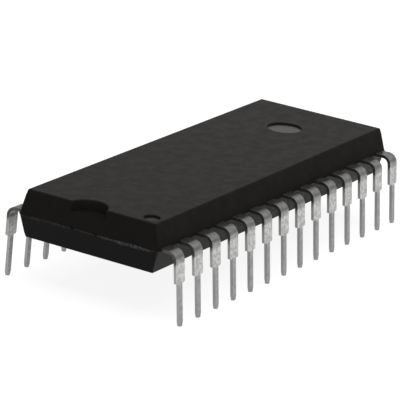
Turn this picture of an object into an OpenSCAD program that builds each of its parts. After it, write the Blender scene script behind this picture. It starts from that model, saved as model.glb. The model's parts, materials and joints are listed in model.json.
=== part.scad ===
// Wide dual in-line package: a moulded body with two rows of bent leads.
// X runs along the body with the notch at -X, Y runs across it and Z is up.
// The lead tips stand on z = 0, and the origin is the middle of the lead pattern.
// The near row is at -Y. It starts at the notch end with lead 1, and the far row ends there.

/* [Lead pattern] */
// Number of leads in both rows together
lead_count = 28; // [16:2:28]
// Distance from lead to lead along a row
pitch = 2.54; // [2.2:0.02:2.8]
// Distance from row to row, between the middles of the metal below the bends
row_spacing = 15.24; // [14:0.02:18]
// How far the leads reach out of the body's sides, to the middle of the metal below the bends
reach_out = 1.295; // [1.1:0.005:1.8]

/* [Leads] */
// Thickness of the metal that leads and paddle are stamped from
metal_t = 0.25; // [0.15:0.01:0.35]
// Width of a lead from the body down to the step
shoulder_w = 1.15; // [0.8:0.05:1.4]
// Width of a lead below the step
pin_w = 0.46; // [0.3:0.02:0.6]
// Length of a lead below the step
pin_l = 3.35; // [2:0.05:5]
// Inner radius of the bend
bend_r = 0.5; // [0.2:0.05:0.65]
// Outward lean of the near row, in degrees
near_lean = 5.8; // [0:0.2:8]
// Outward lean of the far row, in degrees
far_lean = 1.4; // [0:0.2:8]
// Rounding of the outer corners of the step
step_r = 0.14; // [0.05:0.01:0.2]
// Rounding of the inner corners of the step
step_fillet = 0.08; // [0.02:0.01:0.1]
// Width of the flat end of a tip
tip_w = 0.26; // [0.1:0.02:0.3]
// Length of the tapered tip
tip_l = 0.35; // [0.1:0.05:0.8]

/* [Body] */
// Body length beyond the middle of the last lead, at the parting line
end_margin = 1.18; // [1:0.01:2]
// Height of the body above the parting line
upper_h = 1.96; // [1.5:0.02:2.5]
// Height of the body below the parting line
lower_h = 1.95; // [1.5:0.02:2.5]
// Gap between the bottom of the body and the steps of the leads
standoff = 0.4; // [0.2:0.05:1]
// Draft of all side faces, in degrees
draft = 15; // [5:1:20]
// Radius of the four upright corners
corner_r = 0.4; // [0.2:0.05:0.8]
// Rounding of the top and bottom edges
edge_r = 0.12; // [0.05:0.01:0.2]
// How far the flash stands out along the parting line
flash_w = 0.05; // [0.02:0.01:0.1]
// Thickness of the flash
flash_t = 0.06; // [0.03:0.01:0.12]

/* [Marks in the mould] */
// Radius of the end notch
notch_r = 1.6; // [1:0.05:2]
// Distance of the notch centre inside the end of the body
notch_inset = 0.25; // [0:0.05:0.6]
// Depth of the end notch
notch_depth = 0.77; // [0.3:0.01:1.2]
// Sideways offset of the notch and of the tie bars from the middle
end_offset = 0.2; // [-0.4:0.05:0.4]
// Radius of the round dimple beside lead 1
dimple_r = 0.62; // [0.3:0.01:0.7]
// Depth of the dimple
dimple_depth = 0.15; // [0.05:0.01:0.4]
// Distance of the dimple centre from the end and from the side at the parting line
dimple_inset = 1.6; // [1.5:0.05:3]
// Radius of the round ejector marks
ejector_r = 1.42; // [0.8:0.02:1.5]
// Depth of the ejector marks
ejector_depth = 0.14; // [0.05:0.01:0.3]
// Distance of the ejector marks from the end of the body
ejector_inset = 6.42; // [5.5:0.02:8]
// Bevel round the rims of notch, dimple and ejector marks
rim_bevel = 0.06; // [0.02:0.01:0.08]

/* [Inside] */
// Length of the silicon die
die_l = 4.6; // [2:0.1:6]
// Width of the silicon die
die_w = 3.6; // [2:0.1:4.2]
// Thickness of the silicon die
die_t = 0.38; // [0.2:0.02:0.6]
// Thickness of the bond layer under the die
attach_t = 0.03; // [0.02:0.01:0.08]
// Paddle left free around the die
paddle_margin = 0.8; // [0.5:0.05:1]
// How far the oval on which the leads end reaches beyond the ends of the paddle
fan_past_end = 2.2; // [1.8:0.1:2.6]
// How far that oval reaches beyond the sides of the paddle
fan_past_side = 1; // [0.9:0.05:1.2]
// Width of a lead where it runs to the oval
finger_w = 0.28; // [0.2:0.02:0.32]
// Gap left between the tie bars and the leads beside them
finger_gap = 0.2; // [0.15:0.05:0.3]
// Width of the part that anchors a lead in the body
anchor_w = 1.5; // [1.2:0.05:1.7]
// Length of that part
anchor_l = 0.85; // [0.7:0.05:1]
// Cover of body material outside that part
anchor_cover = 0.45; // [0.3:0.05:0.6]
// Diameter of the lock hole in that part
lock_d = 0.5; // [0.2:0.05:0.6]
// Distance between the two tie bars at each end of the paddle
tie_spacing = 2.1; // [1.6:0.05:2.3]
// Width of a tie bar
tie_w = 0.5; // [0.3:0.05:0.6]
// Depth of the sheared end of a tie bar under the skin of the body
tie_recess = 0.05; // [0.01:0.01:0.15]
// Thickness of a bond wire, which is as wide as it is thick
wire_t = 0.03; // [0.02:0.01:0.05]
// Height of a bond wire's loop
wire_rise = 0.3; // [0.15:0.05:0.5]
// Distance of the wire's ends from the edge of the die and from the end of the lead
wire_inset = 0.15; // [0.1:0.01:0.25]
// Diameter of the ball at the die end of a wire
ball_d = 0.09; // [0.06:0.01:0.12]
// Height of that ball
ball_t = 0.02; // [0.01:0.01:0.03]

/* [Hidden] */

// Pieces of one arc in the rounded edges of the body and of the leads
ARC_STEPS = 3;
// Pieces of the loop of a bond wire
LOOP_STEPS = 6;
// Turn between two of the cuts that round the upright corners
CUT_STEP = 22.5;
// Overshoot of cutting shapes, so that no cut ends in a face
CUT = 0.2;
// Sides of the round cuts, which stand for true circles
$fn = 48;

per_row = lead_count / 2;
body_l = (per_row - 1) * pitch + 2 * end_margin;
body_w = row_spacing - 2 * reach_out;

step_z = pin_l;
bottom_z = step_z + standoff;
parting_z = bottom_z + lower_h;
top_z = parting_z + upper_h;
metal_z = parting_z - metal_t / 2;
metal_top = metal_z + metal_t;

bend_out_r = bend_r + metal_t;
bend_y = row_spacing / 2 - metal_t / 2 - bend_r;
bend_z = metal_top - bend_out_r;
seam_l = metal_t;

anchor_out_y = body_w / 2 - anchor_cover;
anchor_in_y = anchor_out_y - anchor_l;
anchor_mid_y = anchor_out_y - anchor_l / 2;

// The die's top is level with the top of the leads, so the paddle is set down by the die's height
paddle_set_down = die_t + attach_t;
paddle_l = die_l + 2 * paddle_margin;
paddle_w = die_w + 2 * paddle_margin;
paddle_z = metal_z - paddle_set_down;
tie_lead_in = 0.25;
tie_slope_l = 0.5;

// Size of the oval on which the leads end
fan_l = paddle_l + 2 * fan_past_end;
fan_w = paddle_w + 2 * fan_past_side;
// The oval stays open by this angle on both sides of its long axis, which leaves room for the tie bars
tie_zone = abs(end_offset) + tie_spacing / 2 + tie_w / 2 + finger_gap;
fan_open = asin(tie_zone / (fan_w / 2));

// The pads keep this far from the edges and from the long axis of the die
pad_x = die_l / 2 - wire_inset;
pad_y = die_w / 2 - wire_inset;
pad_zone = wire_inset;

tin = [0.76, 0.75, 0.73];
charcoal = [0.17, 0.17, 0.17];
bare_alloy = [0.62, 0.58, 0.52];
silver_epoxy = [0.70, 0.70, 0.68];
silicon = [0.33, 0.35, 0.42];
gold = [0.93, 0.76, 0.33];

function numbered(stem, n) = str(stem, n < 10 ? "0" : "", n);

function arc(x, y, r, from, to, steps = ARC_STEPS) =
    [for (i = [0:steps])
        let (a = from + (to - from) * i / steps)
        [x + r * cos(a), y + r * sin(a)]];

function mirrored(points) =
    [for (i = [len(points) - 1:-1:0]) [-points[i][0], points[i][1]]];

// Leads 1 to per_row are the near row from -X to +X, and the far row comes back to -X
function is_far(n) = n > per_row;
function place(n) = is_far(n) ? lead_count - n : n - 1;
function lead_x(n) = (place(n) - (per_row - 1) / 2) * pitch;
function lean(n) = is_far(n) ? far_lean : near_lean;

// How far along its row a lead comes, from 0 at -X to 1 at +X
function row_part(n) = (place(n) + 0.5) / per_row;

// Inner end of a lead of the far row, and the direction from there to the part that anchors it
function finger_end(n) =
    let (a = 180 - fan_open - row_part(n) * (180 - 2 * fan_open))
    [fan_l / 2 * cos(a), fan_w / 2 * sin(a)];
function finger_way(n) =
    let (run = [lead_x(n), anchor_in_y] - finger_end(n))
    run / norm(run);

// Pad of that lead on the die. The pads go round three of its edges, from -X to +X
function pad(n) =
    let (
        rise = pad_y - pad_zone,
        d = row_part(n) * (2 * rise + 2 * pad_x)
    )
    d < rise ? [-pad_x, pad_zone + d]
    : d < rise + 2 * pad_x ? [-pad_x + d - rise, pad_y]
    : [pad_x, pad_y - (d - rise - 2 * pad_x)];

// Half width of a rounded rectangle, measured from its centre in direction a
function reach(l, w, a) =
    (l / 2 - corner_r) * abs(cos(a)) + (w / 2 - corner_r) * abs(sin(a)) + corner_r;

// Right half of the body's section along X or Y: rounded bottom edge, parting line, rounded top edge
function half_section(r) =
    let (
        back = edge_r * (1 - sin(draft)) / cos(draft),
        top_x = r - upper_h * tan(draft) - back,
        bottom_x = r - lower_h * tan(draft) - back
    )
    concat(
        arc(bottom_x, bottom_z + edge_r, edge_r, -90, -draft),
        [[r, parting_z]],
        arc(top_x, top_z - edge_r, edge_r, draft, 90)
    );

// Right half of the section of a cut over the corners, which runs past the top and the bottom
function half_corner_cut(r) = [
    [r - (lower_h + CUT) * tan(draft), bottom_z - CUT],
    [r, parting_z],
    [r - (upper_h + CUT) * tan(draft), top_z + CUT]
];

// Outline of the parting line, pushed out by more
function parting_outline(more) =
    [for (side = [0:3])
        let (
            sx = side == 0 || side == 3 ? 1 : -1,
            sy = side < 2 ? 1 : -1
        )
        each arc(
            sx * (body_l / 2 - corner_r),
            sy * (body_w / 2 - corner_r),
            corner_r + more,
            90 * side,
            90 * side + 90
        )];

module drafted_prism(half, a) {
    long = body_l + body_w;
    rotate([0, 0, a])
        rotate([90, 0, 0])
            translate([0, 0, -long / 2])
                linear_extrude(long)
                    polygon(concat(half, mirrored(half)));
}

module drafted_form() {
    intersection() {
        drafted_prism(half_section(body_l / 2), 0);
        drafted_prism(half_section(body_w / 2), 90);
        intersection_for (corner = [0, 90], a = [CUT_STEP:CUT_STEP:90 - CUT_STEP])
            drafted_prism(half_corner_cut(reach(body_l, body_w, corner + a)), corner + a);
    }
}

module flash() {
    translate([0, 0, parting_z - flash_t / 2])
        linear_extrude(flash_t)
            polygon(parting_outline(flash_w));
}

// Round pocket with a bevelled rim, cut down from the origin
module pocket(r, depth) {
    translate([0, 0, -depth])
        cylinder(h = depth + CUT, r = r);
    translate([0, 0, -rim_bevel])
        cylinder(h = rim_bevel + CUT, r1 = r, r2 = r + rim_bevel + CUT);
}

module mould_marks() {
    translate([-body_l / 2 + notch_inset, end_offset, top_z])
        pocket(notch_r, notch_depth);
    translate([-body_l / 2 + dimple_inset, -body_w / 2 + dimple_inset, top_z])
        pocket(dimple_r, dimple_depth);
    translate([body_l / 2 - ejector_inset, 0, top_z])
        pocket(ejector_r, ejector_depth);
    for (side = [-1, 1])
        translate([side * (body_l / 2 - ejector_inset), 0, bottom_z])
            mirror([0, 0, 1])
                pocket(ejector_r, ejector_depth);
}

// Flat blank of one lead from the bend inwards, for a lead of the far row
module finger_blank(n) {
    x = lead_x(n);
    tip = finger_end(n);
    way = finger_way(n);
    aside = [-way[1], way[0]] * finger_w / 2;
    base_half = finger_w / 2 / way[1];
    difference() {
        union() {
            translate([x - shoulder_w / 2, anchor_in_y])
                square([shoulder_w, bend_y - seam_l / 2 - anchor_in_y]);
            translate([x - anchor_w / 2, anchor_in_y])
                square([anchor_w, anchor_l]);
            polygon([
                tip + aside,
                [x - base_half, anchor_in_y],
                [x - base_half, anchor_mid_y],
                [x + base_half, anchor_mid_y],
                [x + base_half, anchor_in_y],
                tip - aside
            ]);
        }
        translate([x, anchor_mid_y])
            circle(d = lock_d);
    }
}

// Right half of the leg's outline, from the bend down to the tip
function half_leg(step, length) = concat(
    [[shoulder_w / 2, 0]],
    arc(shoulder_w / 2 - step_r, -step + step_r, step_r, 0, -90),
    arc(pin_w / 2 + step_fillet, -step - step_fillet, step_fillet, 90, 180),
    [[pin_w / 2, -length + tip_l], [tip_w / 2, -length]]
);

module leg(lean) {
    step = (bend_z + (bend_r + metal_t / 2) * sin(lean) - step_z) / cos(lean);
    length = (bend_z + bend_r * sin(lean)) / cos(lean);
    half = half_leg(step, length);
    rotate([lean, 0, 0])
        translate([0, bend_out_r, 0])
            rotate([90, 0, 0])
                linear_extrude(metal_t)
                    polygon(concat(mirrored(half), half));
}

// The bend, with a short straight run that reaches over the end of the flat blank
module bend(lean) {
    rotate([90, 0, 90])
        rotate_extrude(angle = 90 - lean, start = lean)
            translate([bend_r, -shoulder_w / 2])
                square([metal_t, shoulder_w]);
    translate([-shoulder_w / 2, -seam_l, bend_r])
        cube([shoulder_w, seam_l, metal_t]);
}

module row_side(n) {
    mirror([0, is_far(n) ? 0 : 1, 0])
        children();
}

module lead(n) {
    color(tin)
        row_side(n)
            union() {
                translate([0, 0, metal_z])
                    linear_extrude(metal_t)
                        finger_blank(n);
                translate([lead_x(n), bend_y, bend_z]) {
                    bend(lean(n));
                    leg(lean(n));
                }
            }
}

// Side view of a tie bar from the paddle to the end of the body, in X and Z
module tie_bar(cover) {
    start = paddle_l / 2 - CUT;
    foot = paddle_l / 2 + tie_lead_in;
    head = foot + tie_slope_l;
    finish = body_l / 2 + cover;
    rotate([90, 0, 0])
        linear_extrude(tie_w)
            polygon([
                [start, paddle_z],
                [foot, paddle_z],
                [head, metal_z],
                [finish, metal_z],
                [finish, metal_top],
                [head, metal_top],
                [foot, paddle_z + metal_t],
                [start, paddle_z + metal_t]
            ]);
}

module paddle_form(cover) {
    translate([-paddle_l / 2, -paddle_w / 2, paddle_z])
        cube([paddle_l, paddle_w, metal_t]);
    for (side = [0, 1], place = [-1, 1])
        mirror([side, 0, 0])
            translate([0, end_offset + place * tie_spacing / 2 + tie_w / 2, 0])
                tie_bar(cover);
}

module die_paddle() {
    color(bare_alloy)
        paddle_form(-tie_recess);
}

module die_attach() {
    color(silver_epoxy)
        translate([-die_l / 2, -die_w / 2, paddle_z + metal_t])
            cube([die_l, die_w, attach_t]);
}

module die() {
    color(silicon)
        translate([-die_l / 2, -die_w / 2, metal_top - die_t])
            cube([die_l, die_w, die_t]);
}

// Side view of a wire's loop, which lands flat on the die at x = 0 and on the lead at x = span
module loop_form(span) {
    loop_r = (span * span / 4 + wire_rise * wire_rise) / (2 * wire_rise);
    sunk = loop_r - wire_rise;
    out_r = loop_r + wire_t / 2;
    in_r = loop_r - wire_t / 2;
    out_turn = acos(sunk / out_r);
    in_turn = acos(sunk / in_r);
    polygon(concat(
        arc(span / 2, -sunk, out_r, 90 + out_turn, 90 - out_turn, LOOP_STEPS),
        arc(span / 2, -sunk, in_r, 90 - in_turn, 90 + in_turn, LOOP_STEPS)
    ));
}

// A ball on the die and a loop from it to the top of a lead of the far row
module wire_form(n) {
    from = pad(n);
    run = finger_end(n) + wire_inset * finger_way(n) - from;
    translate([from[0], from[1], metal_top]) {
        cylinder(h = ball_t, d = ball_d);
        rotate([90, 0, atan2(run[1], run[0])])
            translate([0, 0, -wire_t / 2])
                linear_extrude(wire_t)
                    loop_form(norm(run));
    }
}

module bond_wire(n) {
    color(gold)
        row_side(n)
            wire_form(n);
}

// Everything that the body is moulded round
module insert_forms() {
    for (far = [0, 1])
        mirror([0, 1 - far, 0])
            translate([0, 0, metal_z])
                linear_extrude(metal_t)
                    for (n = far ? [per_row + 1:lead_count] : [1:per_row])
                        finger_blank(n);
    paddle_form(CUT);
    translate([-die_l / 2, -die_w / 2, paddle_z + metal_t])
        cube([die_l, die_w, paddle_set_down]);
    for (n = [1:lead_count])
        row_side(n)
            wire_form(n);
}

module moulded_body() {
    color(charcoal)
        difference() {
            union() {
                drafted_form();
                flash();
            }
            mould_marks();
            insert_forms();
        }
}

moulded_body();
for (n = [1:lead_count])
    lead(n);
die_paddle();
die_attach();
die();
for (n = [1:lead_count])
    bond_wire(n);
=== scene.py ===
"""Looks of a wide dual in-line chip package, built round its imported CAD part.

Everything is in metres in the part's own frame: X along the body with the notch at -X,
Y across it with the near row at -Y, Z up from the lead tips.
"""

import json
import math
import random

import bpy
from mathutils import Matrix, Vector


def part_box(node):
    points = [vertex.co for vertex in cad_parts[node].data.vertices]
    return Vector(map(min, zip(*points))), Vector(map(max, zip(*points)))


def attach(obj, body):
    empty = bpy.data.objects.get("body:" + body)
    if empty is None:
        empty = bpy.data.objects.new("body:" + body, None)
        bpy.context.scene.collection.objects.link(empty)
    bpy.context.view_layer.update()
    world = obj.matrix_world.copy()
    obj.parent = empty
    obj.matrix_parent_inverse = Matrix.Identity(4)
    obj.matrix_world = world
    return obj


MM = 0.001

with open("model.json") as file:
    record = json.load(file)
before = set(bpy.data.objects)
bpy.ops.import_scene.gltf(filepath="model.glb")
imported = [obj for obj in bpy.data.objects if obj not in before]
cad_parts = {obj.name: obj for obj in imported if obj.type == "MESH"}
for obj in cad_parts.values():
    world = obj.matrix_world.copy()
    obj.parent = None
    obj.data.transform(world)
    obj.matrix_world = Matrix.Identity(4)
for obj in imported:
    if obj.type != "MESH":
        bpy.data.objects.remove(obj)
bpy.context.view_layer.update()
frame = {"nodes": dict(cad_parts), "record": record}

# Places on the CAD part that the materials and the flash refer to
body_low, body_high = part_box("moulded_body")
PARTING_Z = 5.70 * MM
STEP_Z = 3.35 * MM
BEND_Z = 5.0 * MM
BEND_Y = 7.0 * MM
MARK_DEPTH_LOW = 0.1 * MM
MARK_DEPTH_HIGH = 0.2 * MM
FLASH_W = 0.05 * MM
FLASH_HALF_T = 0.031 * MM
NOTCH_INSET = 0.25 * MM
NOTCH_X = body_low.x + FLASH_W + NOTCH_INSET
NOTCH_Y = 0.2 * MM
NOTCH_R = 1.6 * MM
NOTCH_DEPTH = 0.77 * MM
TIE_BAR_Y = (-0.98 * MM, -0.72 * MM, 1.12 * MM, 1.38 * MM)

# The torn strip of flash at each end, lower along the far part of the end
STRIP_STEP = 0.11 * MM
STRIP_HALF_HEIGHT = 0.13 * MM
STRIP_FAR_SHARE = 0.7
STRIP_ROOT = 0.06 * MM
STRIP_DROP = 0.06 * MM
STRIP_DRIFT = 0.03 * MM
STRIP_CORNER_GAP = 0.45 * MM

# Camera, fitted to the edges and pins in the photograph
CAMERA_AZIMUTH = -59.139
CAMERA_ELEVATION = 18.293
CAMERA_ROLL = 4.592
CAMERA_DISTANCE = 236.59 * MM
CAMERA_TARGET = Vector((2.101, 2.113, 3.0)) * MM
LENS_MM = 261.9
SENSOR_MM = 36.0

# Stage. The floor and the surroundings are equally bright in reflections.
FLOOR_RADIUS = 130 * MM
FLOOR_SEGMENTS = 96
FLOOR_SEEN_GLOW = 0.90
MIRRORED_GLOW = 0.42
WORLD_FILL = 0.08
WHITE = (1.0, 1.0, 1.0)


# Shader helpers


def new_material(name):
    """An empty node material with a Principled surface. Returns the material and that node."""
    material = bpy.data.materials.new(name)
    material.use_nodes = True
    nodes = material.node_tree.nodes
    nodes.clear()
    output = nodes.new("ShaderNodeOutputMaterial")
    surface = nodes.new("ShaderNodeBsdfPrincipled")
    material.node_tree.links.new(surface.outputs["BSDF"], output.inputs["Surface"])
    return material, surface


def link(tree, source, target):
    tree.links.new(source, target)


def place_coordinates(tree):
    """Object coordinates in metres, which don't move with the camera."""
    return tree.nodes.new("ShaderNodeTexCoord").outputs["Object"]


def noise(tree, coords, per_mm, detail, roughness=0.55, distortion=0.0):
    node = tree.nodes.new("ShaderNodeTexNoise")
    node.inputs["Scale"].default_value = per_mm / MM
    node.inputs["Detail"].default_value = detail
    node.inputs["Roughness"].default_value = roughness
    node.inputs["Distortion"].default_value = distortion
    link(tree, coords, node.inputs["Vector"])
    return node.outputs["Fac"]


def spread(tree, value, from_low, from_high, to_low=0.0, to_high=1.0):
    """Maps a range of values to another one, clamped, with a soft start and end."""
    node = tree.nodes.new("ShaderNodeMapRange")
    node.interpolation_type = "SMOOTHSTEP"
    node.inputs["From Min"].default_value = from_low
    node.inputs["From Max"].default_value = from_high
    for socket, end in ((node.inputs["To Min"], to_low), (node.inputs["To Max"], to_high)):
        if isinstance(end, (int, float)):
            socket.default_value = end
        else:
            link(tree, end, socket)
    link(tree, value, node.inputs["Value"])
    return node.outputs["Result"]


def arithmetic(tree, operation, a, b=None):
    node = tree.nodes.new("ShaderNodeMath")
    node.operation = operation
    for socket, value in zip(node.inputs, (a, b)):
        if value is None:
            continue
        if isinstance(value, (int, float)):
            socket.default_value = value
        else:
            link(tree, value, socket)
    return node.outputs["Value"]


def product(tree, first, *others):
    for other in others:
        first = arithmetic(tree, "MULTIPLY", first, other)
    return first


def mix(tree, share, first, second):
    """Goes softly from the first number to the second as the share goes from 0 to 1."""
    return spread(tree, share, 0.0, 1.0, first, second)


def grey(level):
    return (level, level, level)


def blend_colors(tree, share, first, second):
    """Mixes two colours by share. Each colour is a tuple or the output of another node."""
    node = tree.nodes.new("ShaderNodeMix")
    node.data_type = "RGBA"
    link(tree, share, node.inputs["Factor"])
    for socket, color in ((node.inputs["A"], first), (node.inputs["B"], second)):
        if isinstance(color, tuple):
            socket.default_value = (*color, 1.0)
        else:
            link(tree, color, socket)
    return node.outputs["Result"]


def bump(tree, height, distance_mm, strength, under=None):
    node = tree.nodes.new("ShaderNodeBump")
    node.inputs["Strength"].default_value = strength
    node.inputs["Distance"].default_value = distance_mm * MM
    link(tree, height, node.inputs["Height"])
    if under is not None:
        link(tree, under, node.inputs["Normal"])
    return node.outputs["Normal"]


def rounded_edges(tree, radius_mm):
    """Normals of a surface whose edges are rounded."""
    node = tree.nodes.new("ShaderNodeBevel")
    node.samples = 6
    node.inputs["Radius"].default_value = radius_mm * MM
    return node.outputs["Normal"]


def along_edges(tree, rounded):
    """1 along the edges, where the rounded normals leave those of the surface, 0 elsewhere."""
    flat = tree.nodes.new("ShaderNodeNewGeometry")
    agreement = tree.nodes.new("ShaderNodeVectorMath")
    agreement.operation = "DOT_PRODUCT"
    link(tree, rounded, agreement.inputs[0])
    link(tree, flat.outputs["Normal"], agreement.inputs[1])
    return spread(tree, agreement.outputs["Value"], 0.99, 0.88)


def axes(tree, vector):
    node = tree.nodes.new("ShaderNodeSeparateXYZ")
    link(tree, vector, node.inputs["Vector"])
    return node.outputs


def size_of(tree, value):
    return arithmetic(tree, "ABSOLUTE", value)


def surface_normal(tree):
    return axes(tree, tree.nodes.new("ShaderNodeNewGeometry").outputs["Normal"])


def facing_up(tree):
    """1 on faces that look up, 0 on all others."""
    return spread(tree, surface_normal(tree)["Z"], 0.8, 0.95)


def sideways(tree):
    """1 on faces that look along X, such as the sheared sides of the leads, 0 on all others."""
    return spread(tree, size_of(tree, surface_normal(tree)["X"]), 0.6, 0.8)


def band(tree, value, low, high):
    """1 where the value lies between low and high, 0 elsewhere."""
    above = arithmetic(tree, "GREATER_THAN", value, low)
    return product(tree, above, arithmetic(tree, "LESS_THAN", value, high))


def near_notch(tree, place):
    """1 inside the end notch and on its walls and floor, 0 elsewhere."""
    margin = 0.002 * MM
    rim = 0.02 * MM
    aside = tree.nodes.new("ShaderNodeCombineXYZ")
    link(tree, arithmetic(tree, "SUBTRACT", place["X"], NOTCH_X), aside.inputs["X"])
    link(tree, arithmetic(tree, "SUBTRACT", place["Y"], NOTCH_Y), aside.inputs["Y"])
    distance = tree.nodes.new("ShaderNodeVectorMath")
    distance.operation = "LENGTH"
    link(tree, aside.outputs["Vector"], distance.inputs[0])
    is_near = arithmetic(tree, "LESS_THAN", distance.outputs["Value"], NOTCH_R + margin)
    low = body_high.z - NOTCH_DEPTH - margin
    return product(tree, is_near, band(tree, place["Z"], low, body_high.z - rim))


# Materials. Each pair of base colours goes from a darker tone to a paler one.

SKIN = ((0.0098, 0.0088, 0.0074), (0.0120, 0.0102, 0.0094))
# Below the parting line: the darker tone is painted shade, the paler one is for the patches on the
# long sides.
LOWER_SHADE_AND_PATCHES = (grey(0.006), (0.110, 0.110, 0.095))
FILLER_SPECK = grey(0.10)
TORN_FAR = (grey(0.013), (0.052, 0.050, 0.052))
TORN_NEAR = (grey(0.020), (0.100, 0.100, 0.102))
# Notch: the wall tone is painted light, and the floor tone is painted shade.
NOTCH_WALL_PAINTED_LIGHT = (0.022, 0.021, 0.021)
NOTCH_FLOOR_PAINTED_SHADE = (0.0038, 0.0035, 0.0035)

TIN_SHOULDER = ((0.52, 0.52, 0.50), (0.78, 0.78, 0.77))
TIN_PIN = ((0.37, 0.37, 0.38), (0.46, 0.46, 0.47))
TIN_SIDE = (0.44, 0.44, 0.43)
# Sides from the bend up: bare sheared metal, partly painted shade.
TIN_BEND_SIDE_BARE_AND_SHADE = grey(0.05)
TIN_PIT = (0.16, 0.15, 0.15)
# Painted shade across the bend.
TIN_BEND_SHADE = (0.12, 0.12, 0.11)
# Worn edges, painted near white as a highlight.
TIN_WORN_EDGE_HIGHLIGHT = (1.0, 1.0, 0.98)
# Painted dark reflection of the body on the flats beside it, tinted olive.
BODY_REFLECTION_PAINT = (0.07, 0.065, 0.050)

ALLOY = ((0.34, 0.30, 0.26), (0.42, 0.38, 0.33))
# Tie bar ends: partly oxide, partly painted shade under the flash.
ALLOY_END_OXIDE_AND_SHADE = grey(0.010)
GOLD = ((0.66, 0.48, 0.18), (0.83, 0.60, 0.22))
DIE_BOND = ((0.40, 0.40, 0.38), (0.58, 0.58, 0.56))
SILICON = ((0.09, 0.10, 0.14), (0.16, 0.16, 0.22))


def torn_color(tree, here):
    """Torn compound at the parting line, paler towards the near row."""
    grain = spread(tree, noise(tree, here, per_mm=3.5, detail=4.0, roughness=0.7), 0.40, 0.60)
    far = blend_colors(tree, grain, *TORN_FAR)
    near = blend_colors(tree, grain, *TORN_NEAR)
    return blend_colors(tree, spread(tree, axes(tree, here)["Y"], 0.0, -2.0 * MM), far, near)


def torn_share(tree, place):
    """1 on the edge of the flash at both ends, as far as the far corner, 0 elsewhere."""
    is_flash = band(tree, place["Z"], PARTING_Z - FLASH_HALF_T, PARTING_Z + FLASH_HALF_T)
    end_x = body_high.x - 1.1 * FLASH_W
    is_end = arithmetic(tree, "GREATER_THAN", size_of(tree, place["X"]), end_x)
    return product(tree, is_flash, is_end, spread(tree, place["Y"], 5.4 * MM, 4.6 * MM))


def lower_patch_share(tree, here):
    """Paler patches on the long sides below the parting line, an even share at the notch end and
    blotched beyond.
    """
    place = axes(tree, here)
    is_lower = arithmetic(tree, "LESS_THAN", place["Z"], PARTING_Z)
    is_long_side = spread(tree, size_of(tree, surface_normal(tree)["Y"]), 0.6, 0.8)
    blotches = spread(tree, noise(tree, here, per_mm=4.0, detail=4.0, roughness=0.65), 0.46, 0.62)
    patches = spread(tree, place["X"], -13.0 * MM, -5.0 * MM, 0.35, blotches)
    return product(tree, is_lower, is_long_side, patches)


def make_compound():
    """Matt black filled epoxy with the fine grain of a spark eroded mould.

    It is smoother below the parting line and painted darker there as painted shade, with paler
    patches on the long sides.
    It is torn along that line at both ends. In the end notch the walls carry painted light and the
    floor painted shade. The floors of the shallow marks are glossy.
    """
    material, surface = new_material("moulding_compound")
    tree = material.node_tree
    here = place_coordinates(tree)
    place = axes(tree, here)
    height = place["Z"]
    grain = noise(tree, here, per_mm=14.0, detail=4.0, roughness=0.6)
    cloud = noise(tree, here, per_mm=0.9, detail=4.0, roughness=0.65)
    speck = spread(tree, noise(tree, here, per_mm=30.0, detail=1.0), 0.66, 0.74)

    is_upper = arithmetic(tree, "GREATER_THAN", height, PARTING_Z)
    patches = lower_patch_share(tree, here)
    in_notch = near_notch(tree, place)
    notch_floor = product(tree, in_notch, facing_up(tree))
    mark_zone = band(tree, height, body_high.z - MARK_DEPTH_HIGH, body_high.z - MARK_DEPTH_LOW)
    mark_floor = product(tree, facing_up(tree), mark_zone)

    upper = blend_colors(tree, spread(tree, cloud, 0.35, 0.65), *SKIN)
    # Below the parting line the compound is painted darker than its skin, as painted shade against
    # the light from the floor, with the paler patches over it.
    lower = blend_colors(tree, patches, *LOWER_SHADE_AND_PATCHES)
    base = blend_colors(tree, is_upper, lower, upper)
    base = blend_colors(tree, product(tree, speck, 0.25), base, FILLER_SPECK)
    base = blend_colors(tree, torn_share(tree, place), base, torn_color(tree, here))
    # Painted light on the notch walls, which are paler than the skin, and painted shade on the notch
    # floor.
    base = blend_colors(tree, in_notch, base, NOTCH_WALL_PAINTED_LIGHT)
    base = blend_colors(tree, notch_floor, base, NOTCH_FLOOR_PAINTED_SHADE)
    link(tree, base, surface.inputs["Base Color"])

    smooth = mix(tree, patches, spread(tree, grain, 0.2, 0.8, 0.32, 0.40), 0.22)
    matt = mix(tree, is_upper, smooth, spread(tree, cloud, 0.35, 0.65, 0.60, 0.54))
    matt = mix(tree, notch_floor, matt, 1.0)
    link(tree, mix(tree, mark_floor, matt, 0.25), surface.inputs["Roughness"])
    surface.inputs["Specular IOR Level"].default_value = 0.085
    link(tree, bump(tree, grain, distance_mm=0.006, strength=0.5), surface.inputs["Normal"])
    return material


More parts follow.
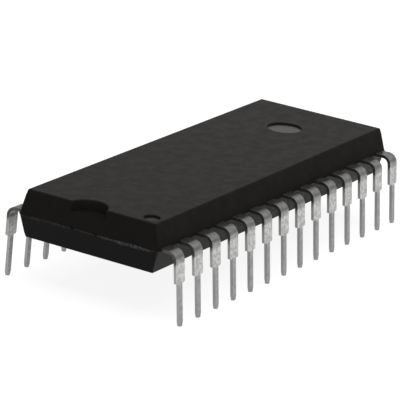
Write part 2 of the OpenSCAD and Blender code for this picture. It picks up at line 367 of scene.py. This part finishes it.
def make_tin():
    """Satin tin plating, mottled and pitted, with the worn edges of the shoulders painted near white
    as a highlight.

    It has painted shade across the bend, a painted dark reflection of the body on the flats beside
    it, and sides of bare sheared metal with painted shade from the bend up.
    """
    material, surface = new_material("tinned_lead")
    tree = material.node_tree
    here = place_coordinates(tree)
    place = axes(tree, here)
    height = place["Z"]
    mottle = noise(tree, here, per_mm=3.2, detail=4.0, roughness=0.65, distortion=0.4)
    mottled = spread(tree, mottle, 0.38, 0.62)
    fine = noise(tree, here, per_mm=16.0, detail=3.0, roughness=0.6)
    pits = spread(tree, noise(tree, here, per_mm=5.5, detail=3.0, roughness=0.6), 0.62, 0.70)
    is_pin = spread(tree, height, STEP_Z + 0.15 * MM, STEP_Z - 0.25 * MM)
    is_bend_side = spread(tree, height, BEND_Z - 0.5 * MM, BEND_Z + 0.1 * MM)
    ragged = arithmetic(tree, "ADD", size_of(tree, place["Y"]), product(tree, mottle, 0.5 * MM))
    # Painted dark reflection of the body on the flats beside it, with a ragged edge.
    painted_body_reflection = product(
        tree,
        spread(tree, ragged, BEND_Y + 0.55 * MM, BEND_Y + 0.15 * MM),
        band(tree, height, PARTING_Z, PARTING_Z + 0.2 * MM),
    )
    # Painted shade across the bend.
    painted_bend_shade = product(
        tree,
        spread(tree, height, BEND_Z - 0.25 * MM, BEND_Z + 0.05 * MM),
        spread(tree, height, BEND_Z + 0.2 * MM, BEND_Z + 0.5 * MM, 0.46, 0.76),
    )
    rounded = rounded_edges(tree, 0.04)
    is_shoulder = band(tree, height, STEP_Z, BEND_Z - 0.1 * MM)
    # Worn edges of the shoulders, painted near white as a highlight.
    worn_edge_highlight = product(tree, along_edges(tree, rounded), is_shoulder)

    shoulder = blend_colors(tree, mottled, *TIN_SHOULDER)
    pin = blend_colors(tree, mottled, *TIN_PIN)
    # The sides are sheared bare metal. From the bend up they are painted near black, partly as
    # painted shade.
    side = blend_colors(tree, is_bend_side, TIN_SIDE, TIN_BEND_SIDE_BARE_AND_SHADE)
    base = blend_colors(tree, is_pin, shoulder, pin)
    base = blend_colors(tree, sideways(tree), base, side)
    base = blend_colors(tree, product(tree, pits, 0.6), base, TIN_PIT)
    base = blend_colors(tree, painted_body_reflection, base, BODY_REFLECTION_PAINT)
    base = blend_colors(tree, painted_bend_shade, base, TIN_BEND_SHADE)
    base = blend_colors(tree, worn_edge_highlight, base, TIN_WORN_EDGE_HIGHLIGHT)
    link(tree, base, surface.inputs["Base Color"])
    surface.inputs["Metallic"].default_value = 1.0
    link(tree, spread(tree, mottle, 0.3, 0.7, 0.44, 0.30), surface.inputs["Roughness"])
    relief = bump(tree, mottle, distance_mm=0.022, strength=0.5, under=rounded)
    relief = bump(tree, fine, distance_mm=0.003, strength=0.4, under=relief)
    link(tree, relief, surface.inputs["Normal"])
    return material


def make_frame_alloy():
    """Rolled nickel iron strip. Where a tie bar leaves the body its sheared end is painted near
    black, partly oxide and partly painted shade under the flash.
    """
    material, surface = new_material("lead_frame_alloy")
    tree = material.node_tree
    here = place_coordinates(tree)
    grain = noise(tree, here, per_mm=6.0, detail=3.0, roughness=0.6)
    end_zone = body_high.x - 0.3 * MM
    tie_bar_end = spread(tree, size_of(tree, axes(tree, here)["X"]), end_zone - 0.02 * MM, end_zone)
    base = blend_colors(tree, grain, *ALLOY)
    # The tie bar ends are painted near black, partly oxide and partly painted shade.
    link(tree, blend_colors(tree, tie_bar_end, base, ALLOY_END_OXIDE_AND_SHADE), surface.inputs["Base Color"])
    surface.inputs["Metallic"].default_value = 1.0
    link(tree, spread(tree, grain, 0.3, 0.7, 0.36, 0.48), surface.inputs["Roughness"])
    link(tree, bump(tree, grain, distance_mm=0.002, strength=0.3), surface.inputs["Normal"])
    return material


def make_gold():
    """Drawn gold wire, with faint die lines."""
    material, surface = new_material("bond_wire_gold")
    tree = material.node_tree
    grain = noise(tree, place_coordinates(tree), per_mm=30.0, detail=3.0, roughness=0.6)
    link(tree, blend_colors(tree, grain, *GOLD), surface.inputs["Base Color"])
    surface.inputs["Metallic"].default_value = 1.0
    link(tree, spread(tree, grain, 0.3, 0.7, 0.19, 0.31), surface.inputs["Roughness"])
    link(tree, bump(tree, grain, distance_mm=0.002, strength=0.3), surface.inputs["Normal"])
    return material


def make_die_bond():
    """Silver filled epoxy."""
    material, surface = new_material("die_bond")
    tree = material.node_tree
    flakes = noise(tree, place_coordinates(tree), per_mm=40.0, detail=2.0, roughness=0.6)
    link(tree, blend_colors(tree, flakes, *DIE_BOND), surface.inputs["Base Color"])
    link(tree, spread(tree, flakes, 0.3, 0.7, 0.5, 0.7), surface.inputs["Roughness"])
    link(tree, bump(tree, flakes, distance_mm=0.002, strength=0.4), surface.inputs["Normal"])
    return material


def make_silicon():
    """Polished silicon with the faint blocks of its circuit."""
    material, surface = new_material("silicon")
    tree = material.node_tree
    here = place_coordinates(tree)
    cells = tree.nodes.new("ShaderNodeTexVoronoi")
    cells.distance = "MANHATTAN"
    cells.inputs["Scale"].default_value = 2.2 / MM
    link(tree, here, cells.inputs["Vector"])
    tone = axes(tree, cells.outputs["Color"])["X"]
    link(tree, blend_colors(tree, tone, *SILICON), surface.inputs["Base Color"])
    link(tree, spread(tree, tone, 0.0, 1.0, 0.15, 0.3), surface.inputs["Roughness"])
    return material


MATERIALS = {
    "moulding_compound": make_compound(),
    "tinned_lead": make_tin(),
    "lead_frame_alloy": make_frame_alloy(),
    "die_bond": make_die_bond(),
    "silicon": make_silicon(),
    "bond_wire_gold": make_gold(),
}

for subpart in frame["record"]["subparts"]:
    node = frame["nodes"][subpart["node"]]
    node.data.materials.clear()
    node.data.materials.append(MATERIALS[subpart["material_slot"]])


# Ragged flash that was left along the parting line at both ends


def make_flash_material():
    """Torn edge of the moulding compound, paler than its skin."""
    material, surface = new_material("torn_compound")
    tree = material.node_tree
    here = place_coordinates(tree)
    grain = noise(tree, here, per_mm=9.0, detail=4.0, roughness=0.7)
    link(tree, torn_color(tree, here), surface.inputs["Base Color"])
    link(tree, spread(tree, grain, 0.3, 0.7, 0.55, 0.8), surface.inputs["Roughness"])
    surface.inputs["Specular IOR Level"].default_value = 0.2
    link(tree, bump(tree, grain, distance_mm=0.02, strength=0.6), surface.inputs["Normal"])
    return material


def flash_station(side, y, z, out, half_height):
    """Points of the strip's section at y, from its lower foot in the body round to its upper one."""
    face = body_high.x - FLASH_W
    foot = face - STRIP_ROOT
    tip = face + out
    blunt = tip - 0.3 * out
    return [
        (side * foot, y, z - half_height),
        (side * blunt, y, z - half_height),
        (side * tip, y, z),
        (side * blunt, y, z + half_height),
        (side * foot, y, z + half_height),
    ]


def wander(rng, value, most, low, high):
    """The value moved at random by up to most, and kept between low and high."""
    return min(high, max(low, value + rng.uniform(-most, most)))


def make_ragged_flash(name, side, seed, material):
    """A torn strip of compound along one end of the body. It stops at the sheared tie bars."""
    rng = random.Random(seed)
    reach = body_high.y - STRIP_CORNER_GAP
    breaks = [-reach, *TIE_BAR_Y, reach]
    points, faces = [], []
    for start, end in zip(breaks[::2], breaks[1::2]):
        count = round((end - start) / STRIP_STEP)
        weight = 1.0 if start < TIE_BAR_Y[0] else STRIP_FAR_SHARE
        first = len(points)
        # Shares of the full width, height and drift, which wander from one station to the next
        out, half_height, drift = 0.8, 0.7, 0.0
        for i in range(count + 1):
            out = wander(rng, out, most=0.3, low=0.6, high=1.0)
            half_height = wander(rng, half_height, most=0.4, low=0.35, high=1.0)
            drift = wander(rng, drift, most=0.6, low=-1.0, high=1.0)
            # Each stretch is full in its middle three fifths and thins out towards both ends
            fade = min(1.0, 0.2 + 4.0 * min(i, count - i) / count)
            station = flash_station(
                side,
                start + (end - start) * i / count,
                PARTING_Z - STRIP_DROP + STRIP_DRIFT * drift,
                FLASH_W * out * fade,
                STRIP_HALF_HEIGHT * half_height * weight * fade,
            )
            points += station
        section = len(station)
        for i in range(count):
            a = first + i * section
            faces += [
                (a + k, a + (k + 1) % section, a + section + (k + 1) % section, a + section + k)
                for k in range(section)
            ]
        faces.append(tuple(range(first, first + section)))
        faces.append(tuple(reversed(range(len(points) - section, len(points)))))
    mesh = bpy.data.meshes.new(name)
    mesh.from_pydata(points, [], faces)
    mesh.materials.append(material)
    flash = bpy.data.objects.new(name, mesh)
    bpy.context.scene.collection.objects.link(flash)
    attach(flash, "root")


torn_compound = make_flash_material()
make_ragged_flash("flash_notch_end", -1, 3, torn_compound)
make_ragged_flash("flash_plain_end", 1, 8, torn_compound)


# Stage: pale floor, soft light, camera


def make_floor():
    """A pale round floor, which glows for the camera and in reflections and keeps the shadow."""
    angles = [2 * math.pi * i / FLOOR_SEGMENTS for i in range(FLOOR_SEGMENTS)]
    rim = [(FLOOR_RADIUS * math.cos(a), FLOOR_RADIUS * math.sin(a), 0.0) for a in angles]
    mesh = bpy.data.meshes.new("floor")
    mesh.from_pydata(rim, [], [list(range(FLOOR_SEGMENTS))])
    floor = bpy.data.objects.new("floor", mesh)
    bpy.context.scene.collection.objects.link(floor)

    material, surface = new_material("floor")
    tree = material.node_tree
    path = tree.nodes.new("ShaderNodeLightPath")
    is_seen = path.outputs["Is Camera Ray"]
    base = blend_colors(tree, is_seen, grey(0.4), grey(0.20))
    link(tree, base, surface.inputs["Base Color"])
    mirrored = mix(tree, path.outputs["Is Glossy Ray"], 0.0, MIRRORED_GLOW)
    glow = mix(tree, is_seen, mirrored, FLOOR_SEEN_GLOW)
    link(tree, glow, surface.inputs["Emission Strength"])
    surface.inputs["Emission Color"].default_value = (*WHITE, 1.0)
    surface.inputs["Roughness"].default_value = 0.9
    surface.inputs["Specular IOR Level"].default_value = 0.0
    floor.data.materials.append(material)


def make_world():
    """Dim grey surroundings that the camera sees as white, and reflections as bright as the floor."""
    world = bpy.data.worlds.new("studio")
    bpy.context.scene.world = world
    world.use_nodes = True
    tree = world.node_tree
    background = tree.nodes["Background"]
    path = tree.nodes.new("ShaderNodeLightPath")
    mirrored = mix(tree, path.outputs["Is Glossy Ray"], WORLD_FILL, MIRRORED_GLOW)
    seen = mix(tree, path.outputs["Is Camera Ray"], mirrored, 1.0)
    link(tree, seen, background.inputs["Strength"])
    background.inputs["Color"].default_value = (*WHITE, 1.0)


def add_area_light(name, place_mm, width_mm, height_mm, radiance):
    """A soft box that faces the middle of the part."""
    data = bpy.data.lights.new(name, "AREA")
    data.shape = "RECTANGLE"
    data.size = width_mm * MM
    data.size_y = height_mm * MM
    data.energy = radiance * math.pi * data.size * data.size_y
    lamp = bpy.data.objects.new(name, data)
    lamp.location = Vector(place_mm) * MM
    lamp.rotation_mode = "QUATERNION"
    lamp.rotation_quaternion = lamp.location.to_track_quat("Z", "Y")
    bpy.context.scene.collection.objects.link(lamp)


def make_camera():
    """The photograph's viewpoint, which looks along -back at the target."""
    angles = (CAMERA_AZIMUTH, CAMERA_ELEVATION, CAMERA_ROLL)
    azimuth, elevation, roll = (math.radians(angle) for angle in angles)
    back = Vector((
        math.sin(azimuth) * math.cos(elevation),
        -math.cos(azimuth) * math.cos(elevation),
        math.sin(elevation),
    ))
    right = (-back).cross(Vector((0, 0, 1))).normalized()
    up = back.cross(right)
    turned_right = math.cos(roll) * right + math.sin(roll) * up
    turned_up = math.cos(roll) * up - math.sin(roll) * right
    pose = Matrix((turned_right, turned_up, back)).transposed().to_4x4()
    pose.translation = CAMERA_TARGET + CAMERA_DISTANCE * back

    data = bpy.data.cameras.new("camera")
    data.lens = LENS_MM
    data.sensor_width = SENSOR_MM
    data.clip_start = 10 * MM
    data.clip_end = 10.0
    camera = bpy.data.objects.new("camera", data)
    camera.matrix_world = pose
    bpy.context.scene.collection.objects.link(camera)
    bpy.context.scene.camera = camera


make_floor()
make_world()
add_area_light("overhead", (0, 0, 300), width_mm=340, height_mm=340, radiance=2.9)
add_area_light("behind", (90, 54, 31), width_mm=86, height_mm=32, radiance=0.7)
add_area_light("front", (-250, -150, 85), width_mm=240, height_mm=90, radiance=1.0)
add_area_light("right", (250, -95, 140), width_mm=200, height_mm=120, radiance=0.5)
make_camera()
bpy.context.scene.view_settings.view_transform = "Standard"
